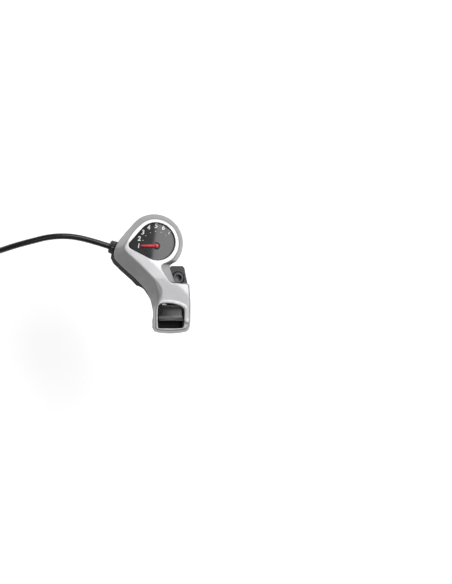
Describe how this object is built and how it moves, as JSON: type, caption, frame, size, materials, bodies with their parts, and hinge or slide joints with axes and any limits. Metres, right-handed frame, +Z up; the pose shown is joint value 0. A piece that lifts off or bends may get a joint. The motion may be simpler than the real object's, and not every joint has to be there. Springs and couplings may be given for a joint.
{
  "type": "thumb shifter",
  "caption": "Right-hand bicycle thumb shifter with silver cover, round gear dial with red needle, release button, lever under the bar, bar clamp and a coiled shift cable.",
  "frame": {"origin": "on the handlebar's axis, in the middle of the clamp band", "axes": "+X along the handlebar towards the grip, +Y forward away from the rider, +Z up out of the dial"},
  "size_m": [0.1486, 0.0805, 0.1341],
  "materials": {
    "cover_silver": "satin silver paint with fine metallic flake over moulded plastic",
    "lens_clear": "clear moulded lens, glossy",
    "dial_black": "printed black dial, satin",
    "needle_red": "red moulded pointer",
    "case_black": "black moulded nylon, fine texture",
    "button_black": "glossy black moulded plastic",
    "paddle_rubber": "black rubber, ribbed",
    "clamp_black": "black anodised die casting",
    "lever_black": "black plated steel",
    "bolt_black": "black oxide steel",
    "steel": "zinc plated steel",
    "brass": "turned brass",
    "drum_white": "natural acetal",
    "housing_black": "black extruded cable housing",
    "ferrule_metal": "nickel plated ferrule",
    "wire_steel": "stranded stainless wire"
  },
  "bodies": {
    "root": {"top_cover": "cover_silver", "indicator_lens": "lens_clear", "dial_plate": "dial_black", "base_housing": "case_black", "bottom_cover": "case_black", "bottom_screw_1": "steel", "bottom_screw_2": "steel", "bottom_screw_3": "steel", "clamp_band": "clamp_black", "clamp_bolt": "bolt_black", "clamp_nut": "steel", "saddle_screw_1": "steel", "saddle_screw_2": "steel", "drum_bush_lower": "brass", "drum_bush_upper": "brass", "drum_spring": "steel", "lever_pin": "steel", "lever_spring": "steel", "lever_washer": "brass", "button_pin": "steel", "button_spring": "steel", "hold_pawl_pin": "steel", "hold_pawl_spring": "steel", "housing_ferrule": "brass", "cable_housing": "housing_black", "cable_coil": "housing_black", "coil_tie_1": "case_black", "coil_tie_2": "case_black", "end_ferrule": "ferrule_metal"},
    "drum": {"ratchet_wheel": "steel", "cable_drum": "drum_white", "cable_nipple": "brass", "wound_wire": "wire_steel", "drum_shaft": "steel", "indicator_needle": "needle_red", "needle_cap": "dial_black"},
    "lever": {"thumb_lever": "lever_black", "lever_paddle": "paddle_rubber", "drive_arm": "steel", "drive_pawl_pin": "steel"},
    "drive_pawl": {"drive_pawl": "steel"},
    "hold_pawl": {"hold_pawl": "steel"},
    "button": {"release_button": "button_black"},
    "link": {"release_link": "steel"},
    "adjuster": {"adjuster_knob": "case_black", "adjuster_barrel": "steel"},
    "wire": {"inner_wire": "wire_steel"},
    "tail": {"wire_tail": "wire_steel", "crimp_tip": "wire_steel"}
  },
  "joints": [
    {"name": "gear_index", "type": "hinge", "parent": "root", "child": "drum", "pos_m": [-0.0162, 0.0393, 0.0065], "axis": [0, 0, 1], "range_deg": [-132, 0]},
    {"name": "wire_run", "type": "slide", "parent": "root", "child": "wire", "axis": [-0.9563, 0.2924, 0], "range_m": [0, 0.0176]},
    {"name": "tail_run", "type": "slide", "parent": "root", "child": "tail", "axis": [0, 0, -1], "range_m": [0, 0.0176]},
    {"name": "thumb_push", "type": "hinge", "parent": "root", "child": "lever", "pos_m": [-0.0136, 0.0195, 0], "axis": [0, 0, 1], "range_deg": [-40, 0], "stiffness_Nm_per_rad": 0.05, "springref_deg": 11.46},
    {"name": "drive_pawl_pivot", "type": "hinge", "parent": "lever", "child": "drive_pawl", "pos_m": [-0.016, 0.02543, 0.0025], "axis": [0, 0, 1], "range_deg": [-15, 0], "stiffness_Nm_per_rad": 0.001, "springref_deg": 11.46},
    {"name": "release_press", "type": "hinge", "parent": "root", "child": "button", "pos_m": [-0.007, -0.002, 0.0192], "axis": [1, 0, 0], "range_deg": [0, 12], "stiffness_Nm_per_rad": 0.02, "springref_deg": -11.46},
    {"name": "link_slide", "type": "slide", "parent": "root", "child": "link", "axis": [0, 1, 0], "range_m": [0, 0.0007]},
    {"name": "hold_pawl_pivot", "type": "hinge", "parent": "root", "child": "hold_pawl", "pos_m": [-0.025, 0.0287, 0.0024], "axis": [0, 0, 1], "range_deg": [-13, 0]},
    {"name": "adjuster_turn", "type": "hinge", "parent": "root", "child": "adjuster", "pos_m": [-0.01842, 0.03203, 0.0065], "axis": [-0.9563, 0.2924, 0], "range_deg": [-540, 540]}
  ],
  "couplings": [
    {"joint": "wire_run", "follows": "gear_index", "m_per_rad": -0.0076},
    {"joint": "tail_run", "follows": "gear_index", "m_per_rad": -0.0076},
    {"joint": "link_slide", "follows": "release_press", "m_per_rad": 0.00296},
    {"joint": "hold_pawl_pivot", "follows": "release_press", "ratio": -0.95}
  ]
}
